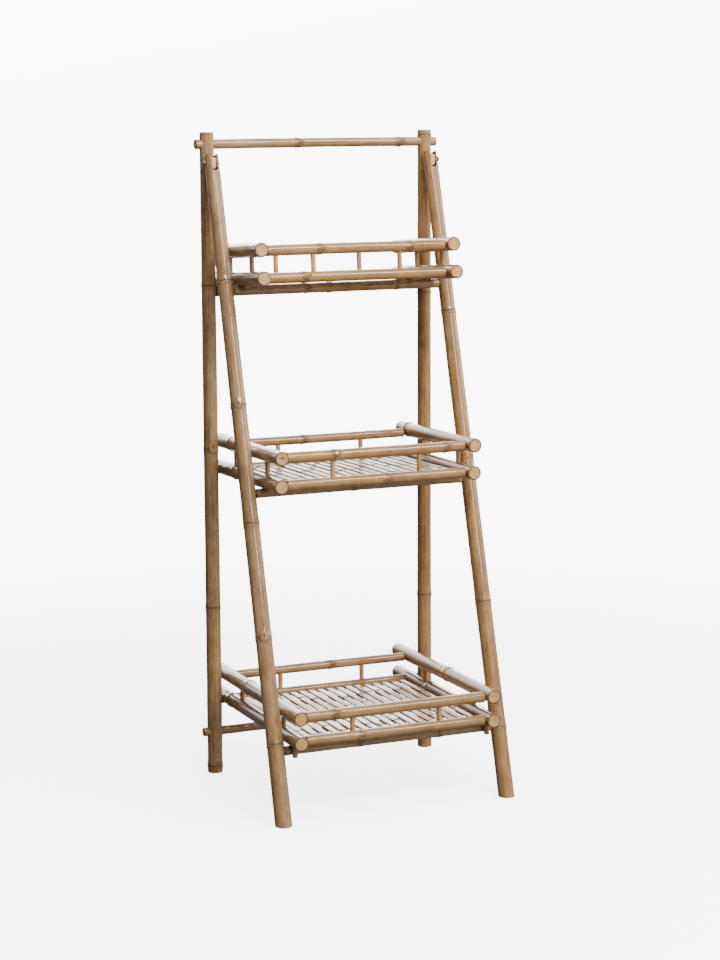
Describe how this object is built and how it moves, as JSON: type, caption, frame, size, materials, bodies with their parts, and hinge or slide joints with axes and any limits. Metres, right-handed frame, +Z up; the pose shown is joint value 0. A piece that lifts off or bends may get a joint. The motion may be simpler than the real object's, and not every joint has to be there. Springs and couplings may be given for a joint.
{
  "type": "plant ladder stand",
  "caption": "Folding bamboo plant ladder: upright rear frame, sloping front frame on forked hinges, and railed slatted trays that deepen towards the floor.",
  "frame": {"origin": "on the floor, under the middle of the overall width and depth", "axes": "+Z up, -Y towards the front legs, +X to the right as seen from the front"},
  "size_m": [0.48, 0.4424, 1.2],
  "materials": {
    "cane": "lacquered bamboo skin, glossy",
    "shaded_cane": "lacquered bamboo skin, glossy, darker",
    "split_cane": "lacquered split bamboo, glossy, pale",
    "dowel": "lacquered turned wood, satin",
    "steel": "dull steel"
  },
  "bodies": {
    "rear_frame": {"rear_post_left": "cane", "rear_post_right": "cane", "rear_top_rail": "shaded_cane", "rear_bottom_rail": "shaded_cane", "rear_shelf_rail": "shaded_cane", "hinge_tongue_left": "dowel", "hinge_tongue_right": "dowel"},
    "front_frame": {"front_leg_left": "cane", "front_leg_right": "cane", "front_rung_top": "shaded_cane", "front_rung_middle": "shaded_cane", "front_rung_bottom": "shaded_cane", "hinge_screw_left": "steel", "hinge_screw_right": "steel", "hinge_washer_left": "steel", "hinge_washer_right": "steel"},
    "top_tray": {"top_tray_lower_side_rail_left": "cane", "top_tray_lower_side_rail_right": "cane", "top_tray_upper_side_rail_left": "cane", "top_tray_upper_side_rail_right": "cane", "top_tray_front_lower_rail": "cane", "top_tray_front_upper_rail": "cane", "top_tray_rear_lower_rail": "cane", "top_tray_rear_upper_rail": "cane", "top_tray_front_baluster_left": "dowel", "top_tray_front_baluster_right": "dowel", "top_tray_rear_baluster_left": "dowel", "top_tray_rear_baluster_right": "dowel", "top_tray_floor": "split_cane"},
    "middle_tray": {"middle_tray_lower_side_rail_left": "cane", "middle_tray_lower_side_rail_right": "cane", "middle_tray_upper_side_rail_left": "cane", "middle_tray_upper_side_rail_right": "cane", "middle_tray_front_lower_rail": "cane", "middle_tray_front_upper_rail": "cane", "middle_tray_axle_rail": "cane", "middle_tray_rear_upper_rail": "cane", "middle_tray_front_baluster_left": "dowel", "middle_tray_front_baluster_right": "dowel", "middle_tray_rear_baluster_left": "dowel", "middle_tray_rear_baluster_right": "dowel", "middle_tray_floor": "split_cane"},
    "bottom_tray": {"bottom_tray_lower_side_rail_left": "cane", "bottom_tray_lower_side_rail_right": "cane", "bottom_tray_upper_side_rail_left": "cane", "bottom_tray_upper_side_rail_right": "cane", "bottom_tray_front_lower_rail": "cane", "bottom_tray_front_upper_rail": "cane", "bottom_tray_axle_rail": "cane", "bottom_tray_rear_upper_rail": "cane", "bottom_tray_front_baluster_left": "dowel", "bottom_tray_front_baluster_right": "dowel", "bottom_tray_rear_baluster_left": "dowel", "bottom_tray_rear_baluster_right": "dowel", "bottom_tray_floor": "split_cane", "lock_peg_left": "dowel", "lock_peg_right": "dowel"}
  },
  "joints": [
    {"name": "front_frame_fold", "type": "hinge", "parent": "rear_frame", "child": "front_frame", "pos_m": [0, 0.12593, 1.145], "axis": [1, 0, 0], "range_deg": [0, 15.5]},
    {"name": "top_tray_fold", "type": "hinge", "parent": "rear_frame", "child": "top_tray", "pos_m": [0, 0.15393, 0.9095], "axis": [-1, 0, 0], "range_deg": [0, 84]},
    {"name": "middle_tray_fold", "type": "hinge", "parent": "rear_frame", "child": "middle_tray", "pos_m": [0, 0.15393, 0.5787], "axis": [-1, 0, 0], "range_deg": [0, 75]},
    {"name": "bottom_tray_fold", "type": "hinge", "parent": "rear_frame", "child": "bottom_tray", "pos_m": [0, 0.15393, 0.1398], "axis": [-1, 0, 0], "range_deg": [0, 65]}
  ]
}
